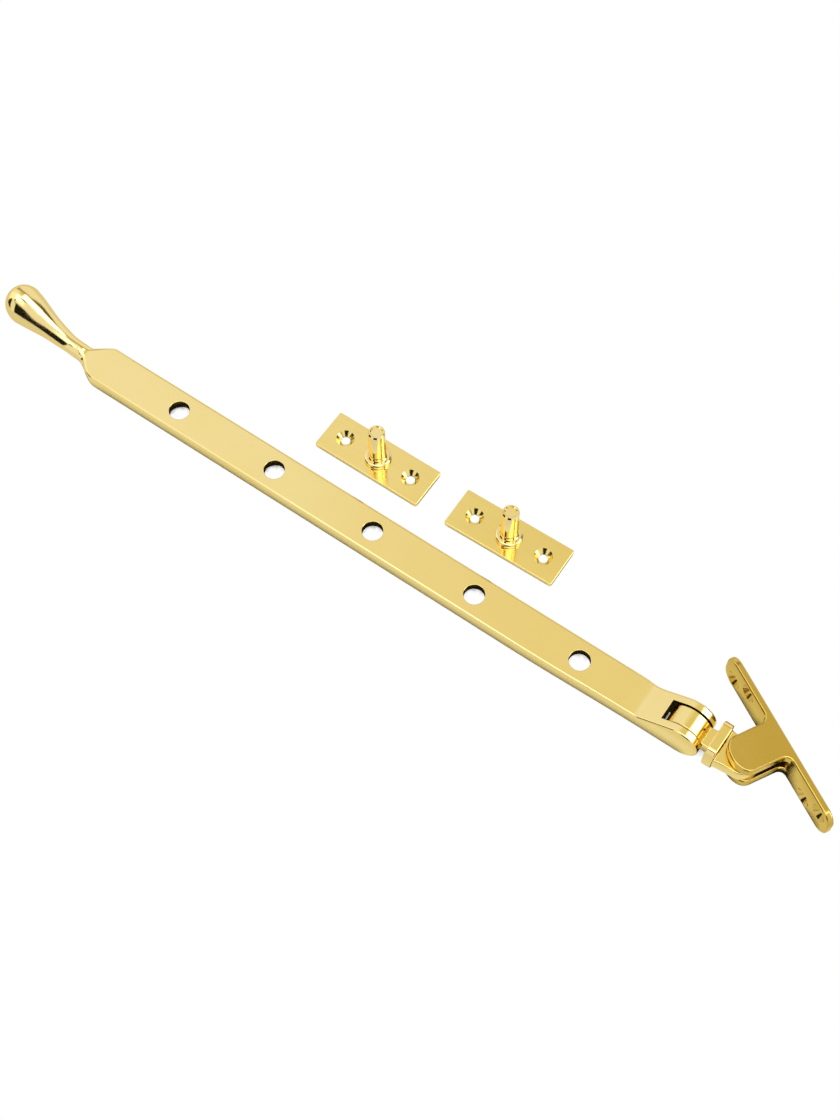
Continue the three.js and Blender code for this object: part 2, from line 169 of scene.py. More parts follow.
def rounded_rectangle(width, height, low_radius, high_radius, steps):
    """One corner radius at the bottom and one at the top; x = 0 is its middle and y = 0 its foot."""
    x = width / 2
    return (
        arc(x - low_radius, low_radius, low_radius, -90, 0, steps)
        + arc(x - high_radius, height - high_radius, high_radius, 0, 90, steps)
        + arc(high_radius - x, height - high_radius, high_radius, 90, 180, steps)
        + arc(low_radius - x, low_radius, low_radius, 180, 270, steps)
    )


def smooth(t):
    """0 up to t = 0, 1 from t = 1 on, and a smooth step between."""
    t = min(1.0, max(0.0, t))
    return t * t * (3 - 2 * t)


def along_table(table, x):
    """The height at x of a Catmull-Rom spline through a table of (x, y) points, level past its ends."""
    if x <= table[0][0]:
        return table[0][1]
    if x >= table[-1][0]:
        return table[-1][1]
    i = max(k for k in range(len(table) - 1) if table[k][0] <= x)
    x0, y0 = table[i]
    x1, y1 = table[i + 1]
    before = table[max(i - 1, 0)]
    after = table[min(i + 2, len(table) - 1)]
    slope0 = (y1 - before[1]) / (x1 - before[0])
    slope1 = (after[1] - y0) / (after[0] - x0)
    span = x1 - x0
    t = (x - x0) / span
    return (
        (2 * t ** 3 - 3 * t ** 2 + 1) * y0
        + (t ** 3 - 2 * t ** 2 + t) * slope0 * span
        + (3 * t ** 2 - 2 * t ** 3) * y1
        + (t ** 3 - t ** 2) * slope1 * span
    )


# ---------------------------------------------------------------- meshes

def new_object(name, data):
    piece = bpy.data.objects.new(name, data)
    bpy.context.scene.collection.objects.link(piece)
    return piece


def mesh_from(name, vertices, faces):
    """A piece from its vertices and faces, with doubled vertices merged and all faces turned outward."""
    mesh = bpy.data.meshes.new(name)
    mesh.from_pydata([tuple(v) for v in vertices], [], faces)
    work = bmesh.new()
    work.from_mesh(mesh)
    bmesh.ops.remove_doubles(work, verts=work.verts, dist=MERGE_DISTANCE)
    bmesh.ops.recalc_face_normals(work, faces=work.faces)
    work.to_mesh(mesh)
    work.free()
    return new_object(name, mesh)


# A point of an outline (u, v) at height w, for an outline raised along each axis.
PLANES = {
    "z": lambda u, v, w: (u, v, w),
    "y": lambda u, v, w: (u, w, v),
    "x": lambda u, v, w: (w, u, v),
}


def prism(name, outline, low, high, axis="z"):
    """An outline raised along an axis from low to high."""
    place = PLANES[axis]
    count = len(outline)
    vertices = [place(u, v, low) for u, v in outline] + [place(u, v, high) for u, v in outline]
    sides = [(i, (i + 1) % count, count + (i + 1) % count, count + i) for i in range(count)]
    return mesh_from(name, vertices, sides + [tuple(range(count)), tuple(range(count, 2 * count))])


def lathe(name, profile, sides):
    """A profile of (radius, height) turned about +z. Its ends lie on the axis."""
    vertices = []
    for i in range(sides):
        turn = 2 * math.pi * i / sides
        vertices += [(r * math.cos(turn), r * math.sin(turn), z) for r, z in profile]
    count = len(profile)
    faces = []
    for i in range(sides):
        j = (i + 1) % sides
        for k in range(count - 1):
            faces.append((i * count + k, j * count + k, j * count + k + 1, i * count + k + 1))
    return mesh_from(name, vertices, faces)


def moved(piece, matrix):
    piece.data.transform(matrix)
    return piece


def apply_modifiers(piece):
    bpy.context.view_layer.update()
    result = bpy.data.meshes.new_from_object(
        piece.evaluated_get(bpy.context.evaluated_depsgraph_get())
    )
    piece.modifiers.clear()
    old = piece.data
    piece.data = result
    bpy.data.meshes.remove(old)
    return piece


def boolean(piece, tool, operation):
    change = piece.modifiers.new(operation, "BOOLEAN")
    change.operation = operation
    change.solver = "EXACT"
    change.object = tool
    apply_modifiers(piece)
    bpy.data.objects.remove(tool)
    return piece


def joined(piece, *others):
    for other in others:
        boolean(piece, other, "UNION")
    return piece


def cut(piece, *tools):
    for tool in tools:
        boolean(piece, tool, "DIFFERENCE")
    return piece


def rounded_edges(piece, width, segments, limit):
    """Rounds every edge that turns by more than limit degrees."""
    bevel = piece.modifiers.new("edges", "BEVEL")
    bevel.width = width
    bevel.segments = segments
    bevel.limit_method = "ANGLE"
    bevel.angle_limit = math.radians(limit)
    bevel.miter_outer = "MITER_ARC"
    bevel.use_clamp_overlap = False
    return apply_modifiers(piece)


def shaded(piece, sharp=40.0):
    """Smooth shading, with a crease wherever faces meet at more than sharp degrees."""
    for polygon in piece.data.polygons:
        polygon.use_smooth = True
    piece.data.set_sharp_from_angle(angle=math.radians(sharp))
    normals = piece.modifiers.new("normals", "WEIGHTED_NORMAL")
    normals.keep_sharp = True
    normals.weight = 80
    return apply_modifiers(piece)


def screw_tool(depth):
    """Cuts a countersunk hole down from z = 0."""
    sink = SCREW_SINK_RADIUS - SCREW_HOLE_RADIUS
    profile = [
        (0, -depth - PAST),
        (SCREW_HOLE_RADIUS, -depth - PAST),
        (SCREW_HOLE_RADIUS, -sink),
        (SCREW_SINK_RADIUS, 0),
        (SCREW_SINK_RADIUS, SINK_CLEAR),
        (0, SINK_CLEAR),
    ]
    return lathe("sink", profile, 48)


def hole_tool():
    """Cuts a peg hole through the bar, its upper rim rounded and its lower half flared."""
    lip = HOLE_LIP
    steps = 4
    top = BAR_THICKNESS
    profile = [(0, -PAST), (HOLE_RADIUS + (HOLE_FLARE + PAST) / 2, -PAST), (HOLE_RADIUS, HOLE_FLARE)]
    for i in range(steps, -1, -1):
        turn = math.radians(90 * i / steps)
        profile.append((HOLE_RADIUS + lip * (1 - math.sin(turn)), top - lip * (1 - math.cos(turn))))
    profile += [(HOLE_RADIUS + lip, top + PAST), (0, top + PAST)]
    return lathe("hole", profile, 64)


# ---------------------------------------------------------------- pieces

def ear_outline():
    """One ear from above: fillets at the plate, straight sides, and a blunt round end."""
    root = -PLATE_THICKNESS / 2
    front = -PLATE_THICKNESS
    side = EAR_WIDTH / 2
    centre = front - EAR_REACH + EAR_END_RADIUS
    half = math.radians(EAR_END_HALF_ANGLE)
    arc_x = centre - EAR_END_RADIUS * math.cos(half)
    arc_y = EAR_END_RADIUS * math.sin(half)
    corner = (arc_x + (side - arc_y) * math.tan(half), side)
    run = math.hypot(side - arc_y, corner[0] - arc_x)
    start = (corner[0] + run, side)
    blend = 2 / 3
    first = tuple(s + blend * (c - s) for s, c in zip(start, corner))
    second = tuple(e + blend * (c - e) for e, c in zip((arc_x, arc_y), corner))
    half_outline = [(root, side + EAR_FILLET)]
    half_outline += arc(front - EAR_FILLET, side + EAR_FILLET, EAR_FILLET, 0, -90, 8)
    half_outline += [start] + bezier(start, first, second, (arc_x, arc_y), 8)
    tip = arc(centre, 0, EAR_END_RADIUS, 180 - EAR_END_HALF_ANGLE, 180 + EAR_END_HALF_ANGLE, 12)
    other_half = [(x, -y) for x, y in reversed(half_outline)]
    return half_outline + tip[1:-1] + other_half


def bracket_body():
    top = KNUCKLE_HEIGHT / 2
    outline = rounded_rectangle(PLATE_LENGTH, KNUCKLE_HEIGHT, PLATE_CORNER, PLATE_CORNER, 10)
    plate = prism("bracket_body", [(u, v - top) for u, v in outline], -PLATE_THICKNESS, 0, "x")
    upper = prism("upper_ear", ear_outline(), top - EAR_THICKNESS, top)
    lower = prism("lower_ear", ear_outline(), -top, -top + EAR_THICKNESS)
    body = joined(plate, upper, lower)
    rounded_edges(body, BRACKET_EDGE, 4, 35)
    for end in (1, -1):
        for distance, height in SCREWS:
            turn = Matrix.Rotation(math.radians(-90), 4, "Y")
            place = Matrix.Translation((-PLATE_THICKNESS, end * distance, end * height))
            cut(body, moved(screw_tool(PLATE_THICKNESS), place @ turn))
    return shaded(body)


def tongue_outline():
    """The yoke's tongue from above: its round eye on the swivel pin, flaring into the web."""
    in_web = (WEB_NEAR + WEB_FAR) / 2
    flare = WEB_WIDTH / 2 - TONGUE_INSET
    eye = YOKE_EYE_RADIUS
    before, wider = TONGUE_FLARE
    leaving = (WEB_NEAR - before, eye + wider)
    arriving = (WEB_NEAR - TONGUE_BLEND, eye)
    upper = [(in_web, flare), (WEB_NEAR, flare)]
    upper += bezier((WEB_NEAR, flare), leaving, arriving, (0, eye), 10)
    lower = [(x, -y) for x, y in reversed(upper)]
    return upper + arc(0, 0, eye, 90, 270, 28)[1:-1] + lower


def barrel_outline(link_length):
    """The barrel and its bridge from the side: a circle, open where the bridge runs into the web."""
    middle = KNUCKLE_HEIGHT / 2
    low = middle - BRIDGE_HEIGHT / 2
    high = middle + BRIDGE_HEIGHT / 2
    from_bottom = math.degrees(math.acos((FORK_RADIUS - low) / BARREL_RADIUS))
    from_top = math.degrees(math.acos((high - FORK_RADIUS) / BARREL_RADIUS))
    in_web = (WEB_NEAR + WEB_FAR) / 2
    circle = arc(link_length, FORK_RADIUS, BARREL_RADIUS, -90 - from_bottom, 90 + from_top, 90)
    return [(in_web, high), (in_web, low)] + circle


def yoke_body(link_length):
    middle = KNUCKLE_HEIGHT / 2
    half_tongue = TONGUE_THICKNESS / 2
    outline = rounded_rectangle(WEB_WIDTH, KNUCKLE_HEIGHT, WEB_BOTTOM_CORNER, WEB_TOP_CORNER, 8)
    web = prism("yoke_body", outline, WEB_NEAR, WEB_FAR, "x")
    tongue = prism("tongue", tongue_outline(), middle - half_tongue, middle + half_tongue)
    barrel = prism("barrel", barrel_outline(link_length), -BARREL_WIDTH / 2, BARREL_WIDTH / 2, "y")
    body = joined(web, tongue, barrel)
    return shaded(rounded_edges(body, YOKE_EDGE, 3, 35))


def half_width(x, link_length, side):
    """The arm's half width at x: the far side (-1) swells soon after the fork, the near side (+1) slowly."""
    waist = link_length + FORK_WAIST
    run = WAIST_RUN if side < 0 else FIRST_HOLE + HOLE_PITCH / 2 - FORK_WAIST
    return FORK_HALF + (BAR_HALF - FORK_HALF) * smooth((x - waist) / run)


def top_line(link_length):
    """The arm's top as (x, height): round the fork's crown, down a straight ramp, then along the bar."""
    line = arc(link_length, FORK_RADIUS, FORK_RADIUS, 90, 90 - RAMP_ANGLE, 12)
    ramp_x, ramp_z = line[-1]
    fall = math.tan(math.radians(RAMP_ANGLE))
    crease_z = BAR_THICKNESS + CREASE_RISE
    crease_x = ramp_x + (ramp_z - crease_z) / fall
    ramp_steps = 12
    for i in range(1, ramp_steps + 1):
        share = i / ramp_steps
        line.append((ramp_x + (crease_x - ramp_x) * share, ramp_z + (crease_z - ramp_z) * share))
    meets_bar = (crease_x + CREASE_RISE / fall, BAR_THICKNESS)
    level = (link_length + LEVEL_FROM, BAR_THICKNESS)
    line += bezier((crease_x, crease_z), meets_bar, meets_bar, level, 24)
    stations = 60
    run = BAR_END + BAR_SPARE - level[0]
    return line + [(level[0] + run * i / stations, BAR_THICKNESS) for i in range(1, stations + 1)]


def arm_loop(link_length, inset):
    """The arm from the side, drawn in by inset: its head from crown to foot, its underside, its top."""
    head = arc(link_length, FORK_RADIUS, FORK_RADIUS - inset, 90, 270, HEAD_STEPS)
    line = top_line(link_length)
    under = [(x, inset) for x, _ in line[1:]]
    upper = []
    for i in range(1, len(line)):
        before = line[i - 1]
        after = line[min(i + 1, len(line) - 1)]
        run = Vector((after[0] - before[0], after[1] - before[1])).normalized()
        upper.append((line[i][0] + inset * run.y, line[i][1] - inset * run.x))
    return head + under + list(reversed(upper))


def ring_faces(rings, count):
    """Faces between neighbouring rings of count vertices each."""
    faces = []
    for i in range(rings - 1):
        for k in range(count):
            j = (k + 1) % count
            faces.append((i * count + k, i * count + j, (i + 1) * count + j, (i + 1) * count + k))
    return faces


def edge_layers():
    """The arm's long edge as (share of the half width, inset), from flat side to top and underside."""
    steps = 5
    layers = []
    for i in range(steps + 1):
        turn = math.radians(90 * i / steps)
        layers.append((1 - BAR_EDGE / FORK_HALF * (1 - math.sin(turn)), BAR_EDGE * (1 - math.cos(turn))))
    return layers


def cheek_faces(base, count, middle):
    """Fills one side of the arm: a fan round the middle of its head, then strips along the bar."""
    faces = [(base + k, base + k + 1, middle) for k in range(HEAD_STEPS)]
    foot = base + HEAD_STEPS
    last = base + count
    faces.append((base, middle, foot, foot + 1, last - 1))
    for i in range(1, (count - HEAD_STEPS - 1) // 2):
        faces.append((foot + i, foot + i + 1, last - 1 - i, last - i))
    return faces


def arm_shell(link_length):
    """The arm up to the shoulder, with every long edge rounded, before its slot and holes are cut."""
    layers = edge_layers()
    vertices = []
    for side in (-1, 1):
        for share, inset in layers[::-1] if side < 0 else layers:
            for x, z in arm_loop(link_length, inset):
                vertices.append((x, side * share * half_width(x, link_length, side), z))
    count = len(arm_loop(link_length, 0))
    loops = 2 * len(layers)
    faces = ring_faces(loops, count)
    for loop, side in ((0, -1), (loops - 1, 1)):
        middle = len(vertices)
        vertices.append((link_length, side * FORK_HALF, FORK_RADIUS))
        faces += cheek_faces(loop * count, count, middle)
    return mesh_from("arm_body", vertices, faces)


# Half widths of the shoulder's far side (a straight slope) and near side (an S-curve), by distance from the
# swivel pin, and the radius of the neck and the teardrop.
FAR_SIDE = [
    (BAR_END, BAR_HALF),
    (270.2, BAR_HALF),
    (271.4, 7.25),
    (277.6, 3.9),
    (279.4, 3.35),
    (NECK_END, NECK_RADIUS),
]
NEAR_SIDE = [
    (BAR_END, BAR_HALF),
    (268.5, BAR_HALF),
    (271.6, 7.35),
    (274.6, 6.1),
    (277.2, 4.4),
    (279.4, 3.5),
    (NECK_END, NECK_RADIUS),
]
HANDLE_RADIUS = [
    (275.5, NECK_RADIUS),
    (285.5, 3.32),
    (BULB_CENTRE - 18, 3.5),
    (BULB_CENTRE - 11, 4.6),
    (BULB_CENTRE - 3.8, 6.5),
    (BULB_CENTRE, BULB_RADIUS),
]


def neck_section(x):
    """The section at x before the handle starts to climb: square at the bar, turning round at the neck."""
    share = smooth((x - CORNER_FROM) / (RISE_START - CORNER_FROM))
    far = along_table(FAR_SIDE, x)
    near = along_table(NEAR_SIDE, x)
    bottom = share * (NECK_HEIGHT - NECK_RADIUS)
    lift = smooth((x - LIFT_FROM) / LIFT_RUN)
    top = BAR_THICKNESS + lift * (NECK_HEIGHT + NECK_RADIUS - BAR_THICKNESS)
    hair = 0.001  # keeps the corner arcs from meeting
    corner = BAR_EDGE + share * (NECK_RADIUS - BAR_EDGE)
    corner = min(corner, 0.5 * (top - bottom) - hair, 0.5 * (far + near) - hair)
    return far, near, bottom, top, corner


def handle_section(x):
    """(far half width, near half width, bottom, top, corner radius) of the section at x."""
    if x < RISE_START:
        return neck_section(x)
    centre = NECK_HEIGHT + HANDLE_RISE * smooth((x - RISE_START) / (RISE_END - RISE_START))
    if x <= BULB_CENTRE:
        radius = along_table(HANDLE_RADIUS, x)
    else:
        radius = math.sqrt(max(0.0, BULB_RADIUS ** 2 - (x - BULB_CENTRE) ** 2))
    return radius, radius, centre - radius, centre + radius, radius


def handle_stations():
    """Where the handle's sections are: few along the bar, then close together, and closing at the tip."""
    midway = 266.0
    close_from = 268.0
    step = 0.5
    stations = [BAR_END, midway]
    stations += [close_from + step * i for i in range(int((BULB_CENTRE - close_from) / step) + 1)]
    cap_steps = 22
    for i in range(1, cap_steps):
        stations.append(BULB_CENTRE + BULB_RADIUS * math.sin(math.radians(90 * i / cap_steps)))
    return stations


def handle_ring(x):
    """The section at x: four quarter arcs, from its near side over the top."""
    far, near, bottom, top, corner = handle_section(x)
    corners = [
        (near - corner, top - corner, 0),
        (corner - far, top - corner, 90),
        (corner - far, bottom + corner, 180),
        (near - corner, bottom + corner, 270),
    ]
    quarter = 14
    return [(x, u, v) for y, z, turn in corners for u, v in arc(y, z, corner, turn, turn + 90, quarter)]


def handle_body():
    """The shoulder, the neck and the teardrop, open where the bar carries on."""
    rings = [handle_ring(x) for x in handle_stations()]
    count = len(rings[0])
    vertices = [v for ring in rings for v in ring]
    faces = ring_faces(len(rings), count)
    vertices.append((BULB_CENTRE + BULB_RADIUS, 0, NECK_HEIGHT + HANDLE_RISE))
    last = (len(rings) - 1) * count
    faces += [(last + k, last + (k + 1) % count, len(vertices) - 1) for k in range(count)]
    return mesh_from("handle_part", vertices, faces)


def slot_tool(link_length):
    """Cuts the slot between the fork's cheeks, from its round end to its square inner end."""
    low = link_length - FORK_RADIUS - 2 * PAST
    high = link_length + SLOT_DEPTH
    half = SLOT_WIDTH / 2
    above = 20.0  # clear of the fork's crown
    return prism("slot", [(low, -half), (high, -half), (high, half), (low, half)], -2 * PAST, above)


def arm_body(link_length):
    body = arm_shell(link_length)
    cut(body, slot_tool(link_length))
    for i in range(HOLE_COUNT):
        place = Matrix.Translation((link_length + FIRST_HOLE + HOLE_PITCH * i, 0, 0))
        cut(body, moved(hole_tool(), place))
    open_end(body)
    take_in(body, handle_body())
    return shaded(body)


def take_in(body, part):
    """Adds a part's faces to the body's mesh."""
    work = bmesh.new()
    work.from_mesh(body.data)
    work.from_mesh(part.data)
    work.to_mesh(body.data)
    work.free()
    bpy.data.objects.remove(part)


def open_end(body):
    """Trims the bar at the shoulder and takes off its end face, where the handle part continues it."""
    work = bmesh.new()
    work.from_mesh(body.data)
    geometry = work.verts[:] + work.edges[:] + work.faces[:]
    plane = Vector((BAR_END, 0, 0))
    bmesh.ops.bisect_plane(work, geom=geometry, plane_co=plane, plane_no=(1, 0, 0), clear_outer=True)
    work.to_mesh(body.data)
    work.free()


def peg_plate_body(name):
    corner = PEG_PLATE_CORNER
    outline = rounded_rectangle(PEG_PLATE_LENGTH, PEG_PLATE_WIDTH, corner, corner, 4)
    centred = [(u, v - PEG_PLATE_WIDTH / 2) for u, v in outline]
    body = prism(name, centred, 0, PEG_PLATE_THICKNESS)
    rounded_edges(body, PEG_PLATE_EDGE, 3, 50)
    for x in (-PEG_SCREW, PEG_SCREW):
        place = Matrix.Translation((x, 0, PEG_PLATE_THICKNESS))
        cut(body, moved(screw_tool(PEG_PLATE_THICKNESS), place))
    return shaded(body)


def peg_body(name):
    """A turned peg: rounded collar, small cove, tapered shank and a chamfered top with a shallow dish."""
    seat = PEG_PLATE_THICKNESS
    collar_top = PEG_PLATE_THICKNESS + COLLAR_HEIGHT
    under = COLLAR_UNDER_EDGE
    edge = COLLAR_EDGE
    chamfer, chamfer_height = PEG_CHAMFER
    dish_floor = PEG_HEIGHT - DISH_DEPTH
    profile = [(0, seat), (COLLAR_RADIUS - under, seat)]
    profile += arc(COLLAR_RADIUS - under, seat + under, under, -90, 0, 4)[1:]
    profile += arc(COLLAR_RADIUS - edge, collar_top - edge, edge, 0, 90, 8)
    profile += [(PEG_BASE_RADIUS + COVE, collar_top), (PEG_BASE_RADIUS, collar_top + COVE)]
    profile += [(PEG_TOP_RADIUS, PEG_HEIGHT - chamfer_height), (PEG_TOP_RADIUS - chamfer, PEG_HEIGHT)]
    profile += [(PEG_TOP_RADIUS - DISH_RIM, PEG_HEIGHT), (PEG_TOP_RADIUS - DISH_FLOOR, dish_floor)]
    profile += [(0, dish_floor)]
    return shaded(lathe(name, profile, 72), 28)


# ---------------------------------------------------------------- materials

def node(tree, kind, **inputs):
    """A new node with values set on its sockets; an underscore stands for the space in a socket's name."""
    made = tree.nodes.new(kind)
    for key, value in inputs.items():
        made.inputs[key.replace("_", " ")].default_value = value
    return made


def math_node(tree, operation):
    made = tree.nodes.new("ShaderNodeMath")
    made.operation = operation
    return made


def set_ramp(ramp, stops):
    """Gives a colour ramp its stops, each a position and a colour."""
    (first, first_colour), (second, second_colour), *others = stops
    ramp.elements[0].position = first
    ramp.elements[0].color = (*first_colour, 1)
    ramp.elements[1].position = second
    ramp.elements[1].color = (*second_colour, 1)
    for place, colour in others:
        ramp.elements.new(place).color = (*colour, 1)


def brass(name, finish, direction, grain=BRUSHED_GRAIN):
    """Metal that drifts between two tones, with fine marks along one direction and soft worn patches."""
    colour, deep, roughness, brushing = finish
    material = bpy.data.materials.new(name)
    material.use_nodes = True
    tree = material.node_tree
    link = tree.links.new
    shader = tree.nodes["Principled BSDF"]
    shader.inputs["Metallic"].default_value = 1.0
    shader.inputs["Specular Tint"].default_value = EDGE_TINT
    place = tree.nodes.new("ShaderNodeTexCoord")
    turned = node(tree, "ShaderNodeMapping", Rotation=(0, 0, math.radians(direction)))
    turned.vector_type = "TEXTURE"
    link(place.outputs["Object"], turned.inputs["Vector"])
    stretched = node(tree, "ShaderNodeMapping", Scale=grain)
    link(turned.outputs["Vector"], stretched.inputs["Vector"])

    drift = node(tree, "ShaderNodeTexNoise", Scale=28.0, Detail=3.0)
    link(turned.outputs["Vector"], drift.inputs["Vector"])
    tones = tree.nodes.new("ShaderNodeValToRGB")
    set_ramp(tones.color_ramp, [(0.32, deep), (0.68, colour)])
    link(drift.outputs["Fac"], tones.inputs["Fac"])
    link(tones.outputs["Color"], shader.inputs["Base Color"])

    marks = node(tree, "ShaderNodeTexNoise", Scale=1.0, Detail=4.0, Roughness=0.6)
    link(stretched.outputs["Vector"], marks.inputs["Vector"])
    wear = node(tree, "ShaderNodeTexNoise", Scale=95.0, Detail=5.0, Roughness=0.65)
    link(turned.outputs["Vector"], wear.inputs["Vector"])
    both = math_node(tree, "MULTIPLY")
    link(marks.outputs["Fac"], both.inputs[0])
    link(wear.outputs["Fac"], both.inputs[1])
    rough = node(tree, "ShaderNodeMapRange", From_Min=0.12, From_Max=0.42)
    rough.inputs["To Min"].default_value = roughness * 0.7
    rough.inputs["To Max"].default_value = roughness * 1.35
    link(both.outputs["Value"], rough.inputs["Value"])
    link(rough.outputs["Result"], shader.inputs["Roughness"])

    bump = node(tree, "ShaderNodeBump", Strength=brushing, Distance=BRUSH_DEPTH)
    link(marks.outputs["Fac"], bump.inputs["Height"])
    link(bump.outputs["Normal"], shader.inputs["Normal"])
    return material


def dress(piece, material, slot, body, *replaced):
    """Gives a piece its material, the body it rides and the nodes it stands in for. The slot is not used."""
    piece.data.materials.clear()
    piece.data.materials.append(material)
    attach(piece, body)
    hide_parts(*replaced)


# ---------------------------------------------------------------- studio

def band(tree, direction, axis, low, high, soft):
    """1 where the direction's part along an axis is between low and high, fading over soft at each end."""
    link = tree.links.new
    dot = tree.nodes.new("ShaderNodeVectorMath")
    dot.operation = "DOT_PRODUCT"
    dot.inputs[1].default_value = axis
    link(direction, dot.inputs[0])
    away = math_node(tree, "SUBTRACT")
    away.inputs[1].default_value = (low + high) / 2
    link(dot.outputs["Value"], away.inputs[0])
    size = math_node(tree, "ABSOLUTE")
    link(away.outputs["Value"], size.inputs[0])
    half = (high - low) / 2
    fade = node(tree, "ShaderNodeMapRange", To_Min=1.0, To_Max=0.0)
    fade.interpolation_type = "SMOOTHSTEP"
    fade.inputs["From Min"].default_value = half - soft / 2
    fade.inputs["From Max"].default_value = half + soft / 2
    link(size.outputs["Value"], fade.inputs["Value"])
    return fade.outputs["Result"]


def heading(degrees):
    """The level direction at an angle from +x."""
    turn = math.radians(degrees)
    return Vector((math.cos(turn), math.sin(turn), 0))


# The studio's cards, laid over one another. Each covers a box of directions, given as its lowest and highest
# part along the arm (towards the handle), across it (towards the near side) and up. Then come the width of
# its soft edge and its brightness. A range that ends at 2 or -2 has no edge on that side.
CARDS = [
    # A warm white strip for the flat tops, whiter towards the handle and deeper towards the bracket.
    ((-2, 2), (-0.47, -0.20), (0.3, 2), 0.06, (0.92, 0.87, 0.66)),
    ((0.30, 2), (-0.47, -0.20), (0.3, 2), 0.20, (1.0, 1.0, 1.0)),
    ((-2, 0.09), (-0.47, -0.20), (0.3, 2), 0.12, (0.84, 0.76, 0.44)),
    # A dull strip beyond it, on the far side.
    ((-2, 2), (-0.66, -0.46), (0.2, 2), 0.08, (0.48, 0.42, 0.28)),
    # A bright card overhead, with a highlight in its middle, and another highlight on the bracket's side.
    ((-0.5, 2), (-0.16, 0.45), (0.3, 2), 0.16, (1.25, 1.22, 1.10)),
    ((-0.48, 0.30), (-0.10, 0.40), (0.3, 2), 0.14, (2.7, 2.65, 2.5)),
    ((-2, -0.38), (-0.52, -0.10), (0.2, 2), 0.08, (3.4, 3.4, 3.4)),
    # Dark cards low down: on the near side, behind the bracket on the far side, and past the handle.
    ((-0.6, 0.01), (0.58, 2), (-1, 0.78), 0.04, (0.010, 0.009, 0.006)),
    ((-2, -0.46), (-2, -0.60), (-1, 0.66), 0.08, (0.12, 0.10, 0.05)),
    ((0.54, 2), (0.40, 2), (-1, 0.66), 0.06, (0.02, 0.018, 0.010)),
    # Two small dark ones high up.
    ((0.02, 0.24), (0.36, 0.58), (0.82, 2), 0.05, (0.02, 0.015, 0.01)),
    ((-0.56, -0.40), (-0.08, 0.04), (0.82, 2), 0.05, (0.02, 0.015, 0.01)),
]
DOME = (0.97, 0.96, 0.93, 1)
WHITE = (1, 1, 1, 1)

# Sockets of a Mix node that mixes colours.
SHARE = 0
UNDER = 6
OVER = 7
MIXED = 2


def card_mask(tree, direction, axes, ranges, soft):
    """1 over one card's box of directions, 0 outside it."""
    mask = None
    for axis, (low, high) in zip(axes, ranges):
        part = band(tree, direction, axis, low, high, soft)
        if mask is None:
            mask = part
            continue
        product = math_node(tree, "MULTIPLY")
        tree.links.new(part, product.inputs[0])
        tree.links.new(mask, product.inputs[1])
        mask = product.outputs["Value"]
    return mask


def colour_mix(tree, under, over):
    mix = tree.nodes.new("ShaderNodeMix")
    mix.data_type = "RGBA"
    mix.inputs[UNDER].default_value = under
    mix.inputs[OVER].default_value = over
    return mix


def studio(angle):
    """The light all round: a pale dome with soft cards, and plain white to the camera."""
    world = bpy.data.worlds.new("studio")
    bpy.context.scene.world = world
    world.use_nodes = True
    tree = world.node_tree
    link = tree.links.new
    direction = tree.nodes.new("ShaderNodeTexCoord").outputs["Generated"]
    axes = (heading(angle), heading(angle + 90), Vector((0, 0, 1)))
    previous = None
    for *ranges, soft, colour in CARDS:
        mix = colour_mix(tree, DOME, (*colour, 1))
        if previous:
            link(previous, mix.inputs[UNDER])
        link(card_mask(tree, direction, axes, ranges, soft), mix.inputs[SHARE])
        previous = mix.outputs[MIXED]
    path = tree.nodes.new("ShaderNodeLightPath")
    seen = colour_mix(tree, DOME, WHITE)
    link(path.outputs["Is Camera Ray"], seen.inputs[SHARE])
    link(previous, seen.inputs[UNDER])
    background = tree.nodes["Background"]
    background.inputs["Strength"].default_value = 1.0
    link(seen.outputs[MIXED], background.inputs["Color"])


# The table's painted light and shade follow its openness, measured over TABLE_REACH metres: 0 is shut in and
# 1 is open.
TABLE_REACH = 0.006
# Painted shade and light for the metal to see: black where the table is shut in, white beside a piece,
# duller in the open.
PAINTED_TABLE_TONES = [
    (0.56, (0.01, 0.008, 0.004)),
    (0.65, (0.98, 1.0, 1.03)),
    (0.80, (0.98, 1.0, 1.03)),
    (0.98, (0.82, 0.80, 0.72)),
]
# A painted shadow: the camera sees a dark line where the table is most shut in, fading out between GAP_DARK
# and GAP_CLEAR.
GAP_DARK = 0.17
GAP_CLEAR = 0.25
GAP_PAINTED_SHADE = (0.02, 0.012, 0.004, 1)
TABLE_DROP = 0.0001  # metres from the arm's underside down to the table
TABLE_SIZE = 3.0  # metres from its middle to each edge


def shader_mix(tree, share, under, over):
    mix = tree.nodes.new("ShaderNodeMixShader")
    tree.links.new(share, mix.inputs[0])
    tree.links.new(under, mix.inputs[1])
    tree.links.new(over, mix.inputs[2])
    return mix.outputs[0]


def reflected_table(tree, openness):
    """What the metal sees of the table: a glow with painted shade and light, dark where shut in, white
    beside a piece, duller in the open.
    """
    shade = tree.nodes.new("ShaderNodeValToRGB")
    set_ramp(shade.color_ramp, PAINTED_TABLE_TONES)
    tree.links.new(openness, shade.inputs["Fac"])
    painted_glow = node(tree, "ShaderNodeEmission", Strength=1.0)
    tree.links.new(shade.outputs["Color"], painted_glow.inputs["Color"])
    return painted_glow.outputs[0]


def seen_table(tree, openness):
    """What the camera sees of the table: nothing, but for a painted shadow, a dark line in the tightest
    gaps.
    """
    gaps = node(tree, "ShaderNodeMapRange", From_Min=GAP_DARK, From_Max=GAP_CLEAR)
    tree.links.new(openness, gaps.inputs["Value"])
    dark = node(tree, "ShaderNodeEmission", Color=GAP_PAINTED_SHADE, Strength=1.0)
    clear = node(tree, "ShaderNodeBsdfTransparent", Color=WHITE)
    return shader_mix(tree, gaps.outputs["Result"], dark.outputs[0], clear.outputs[0])


